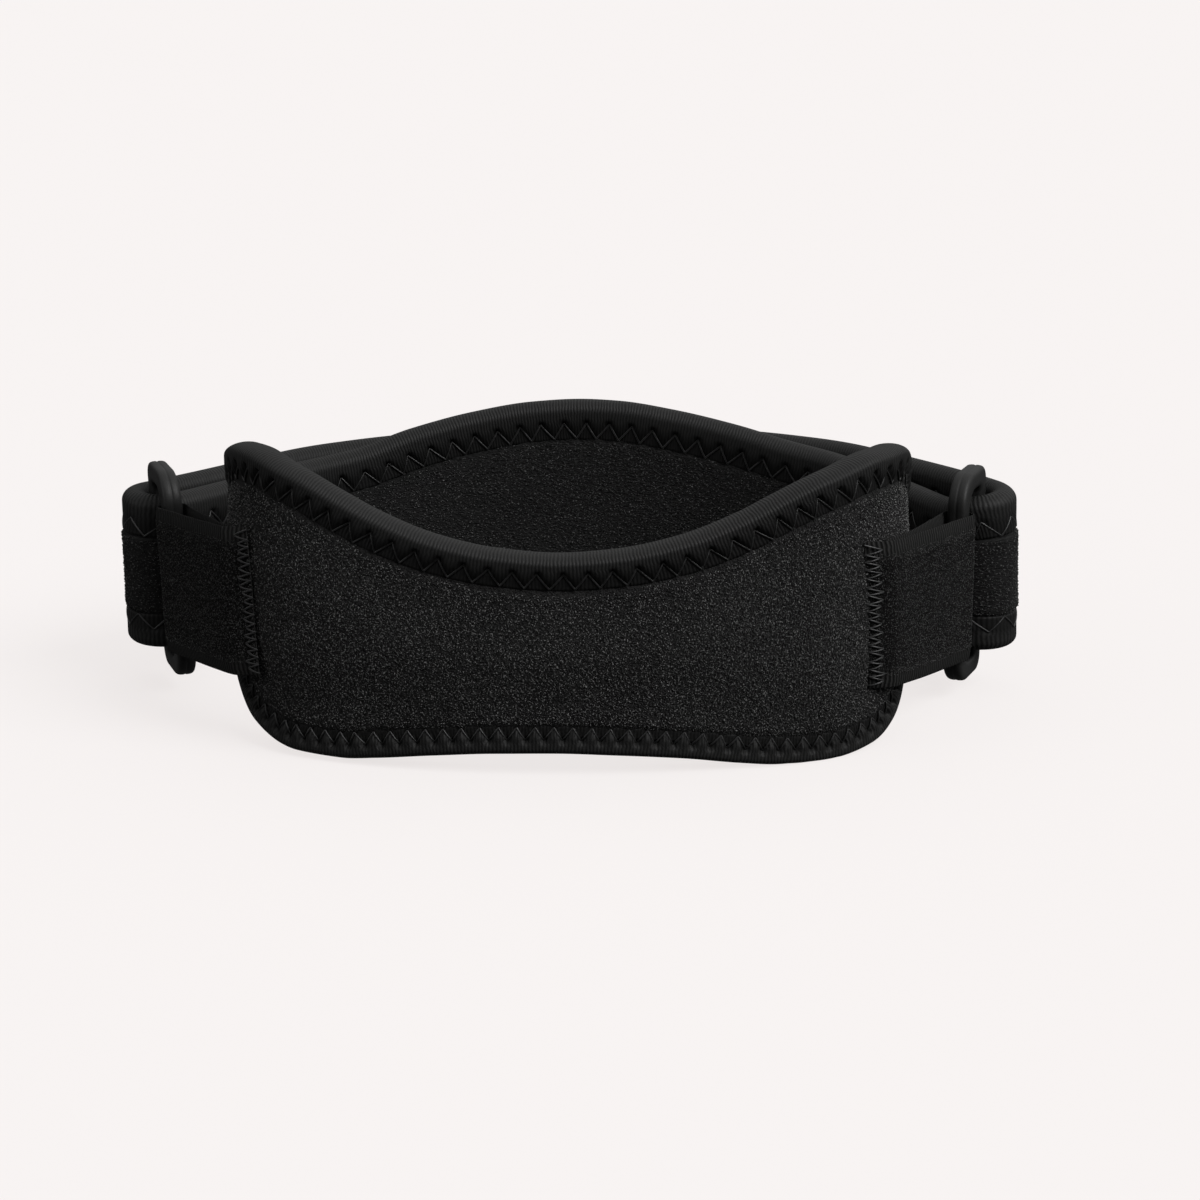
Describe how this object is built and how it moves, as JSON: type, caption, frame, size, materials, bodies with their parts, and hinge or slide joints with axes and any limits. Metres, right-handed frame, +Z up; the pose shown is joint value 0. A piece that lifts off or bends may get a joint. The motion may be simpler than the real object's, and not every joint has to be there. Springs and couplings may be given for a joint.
{
  "type": "knee support",
  "caption": "Knee strap with a waisted foam pad in front, a foam band behind and a ring at each side, joined by doubled elastic and closed by folding the band back on itself.",
  "frame": {"origin": "middle of the footprint, on the surface the lower edges stand on", "axes": "+Z up, -Y the way the front pad faces, +X across the knee from ring to ring"},
  "size_m": [0.19, 0.108, 0.0598],
  "materials": {
    "pile": "brushed loop pile on foam, matte",
    "binding": "smooth stretch tape with a soft sheen, zigzag sewn",
    "webbing": "knitted elastic, matte",
    "plastic": "moulded, satin",
    "hook": "hook fastener"
  },
  "bodies": {
    "root": {"front_pad": "pile", "front_binding": "binding", "back_band": "pile", "back_binding": "binding", "elastic_left": "webbing", "elastic_right": "webbing", "ring_left": "plastic", "ring_right": "plastic", "hook_patch_left": "hook", "hook_patch_right": "hook"}
  },
  "joints": []
}
